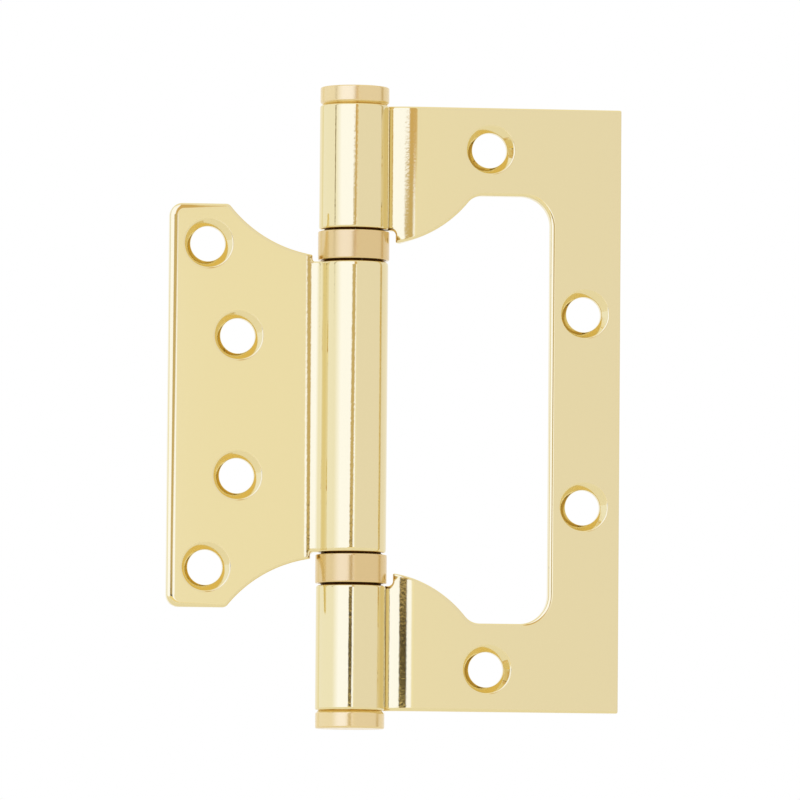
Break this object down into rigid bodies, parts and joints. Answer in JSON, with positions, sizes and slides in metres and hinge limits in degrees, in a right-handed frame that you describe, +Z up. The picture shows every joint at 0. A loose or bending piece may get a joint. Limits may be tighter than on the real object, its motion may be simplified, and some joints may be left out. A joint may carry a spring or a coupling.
{
  "type": "flush hinge",
  "caption": "Flush butterfly hinge: a small rolled leaf folds into a larger leaf's cut-out, turning on a capped pin with ball-bearing rings between its knuckles.",
  "frame": {"origin": "on the pin's axis at the barrel's mid height", "axes": "+Z up the pin; +X towards the large frame leaf, with the small door leaf opened flat to -X; the countersunk fronts face -Y and the mounting faces +Y"},
  "size_m": [0.075, 0.0118, 0.106],
  "materials": {
    "leaf_brass_plate": "polished brass plate on pressed steel",
    "ring_brass": "turned and polished brass",
    "pin_steel": "drawn steel",
    "race_steel": "hardened and ground steel",
    "ball_steel": "polished bearing steel"
  },
  "bodies": {
    "frame": {"frame_leaf": "leaf_brass_plate", "hinge_pin": "pin_steel", "top_cap": "ring_brass", "bottom_cap": "ring_brass", "upper_bearing_top_race": "race_steel", "lower_bearing_bottom_race": "race_steel"},
    "door": {"door_leaf": "leaf_brass_plate", "upper_bearing_shroud": "ring_brass", "upper_bearing_bottom_race": "race_steel", "lower_bearing_shroud": "ring_brass", "lower_bearing_top_race": "race_steel"},
    "upper_ball_ring": {"upper_bearing_ball_1": "ball_steel", "upper_bearing_ball_2": "ball_steel", "upper_bearing_ball_3": "ball_steel", "upper_bearing_ball_4": "ball_steel", "upper_bearing_ball_5": "ball_steel", "upper_bearing_ball_6": "ball_steel", "upper_bearing_ball_7": "ball_steel", "upper_bearing_ball_8": "ball_steel", "upper_bearing_ball_9": "ball_steel", "upper_bearing_ball_10": "ball_steel", "upper_bearing_ball_11": "ball_steel", "upper_bearing_ball_12": "ball_steel"},
    "lower_ball_ring": {"lower_bearing_ball_1": "ball_steel", "lower_bearing_ball_2": "ball_steel", "lower_bearing_ball_3": "ball_steel", "lower_bearing_ball_4": "ball_steel", "lower_bearing_ball_5": "ball_steel", "lower_bearing_ball_6": "ball_steel", "lower_bearing_ball_7": "ball_steel", "lower_bearing_ball_8": "ball_steel", "lower_bearing_ball_9": "ball_steel", "lower_bearing_ball_10": "ball_steel", "lower_bearing_ball_11": "ball_steel", "lower_bearing_ball_12": "ball_steel"}
  },
  "joints": [
    {"name": "door_leaf_turn", "type": "hinge", "parent": "frame", "child": "door", "pos_m": [0, 0, 0], "axis": [0, 0, 1], "range_deg": [0, 180]},
    {"name": "upper_balls_roll", "type": "hinge", "parent": "frame", "child": "upper_ball_ring", "pos_m": [0, 0, 0.0267], "axis": [0, 0, 1], "range_deg": [0, 90]},
    {"name": "lower_balls_roll", "type": "hinge", "parent": "frame", "child": "lower_ball_ring", "pos_m": [0, 0, -0.0267], "axis": [0, 0, 1], "range_deg": [0, 90]}
  ],
  "couplings": [
    {"joint": "upper_balls_roll", "follows": "door_leaf_turn", "ratio": 0.5},
    {"joint": "lower_balls_roll", "follows": "door_leaf_turn", "ratio": 0.5}
  ]
}
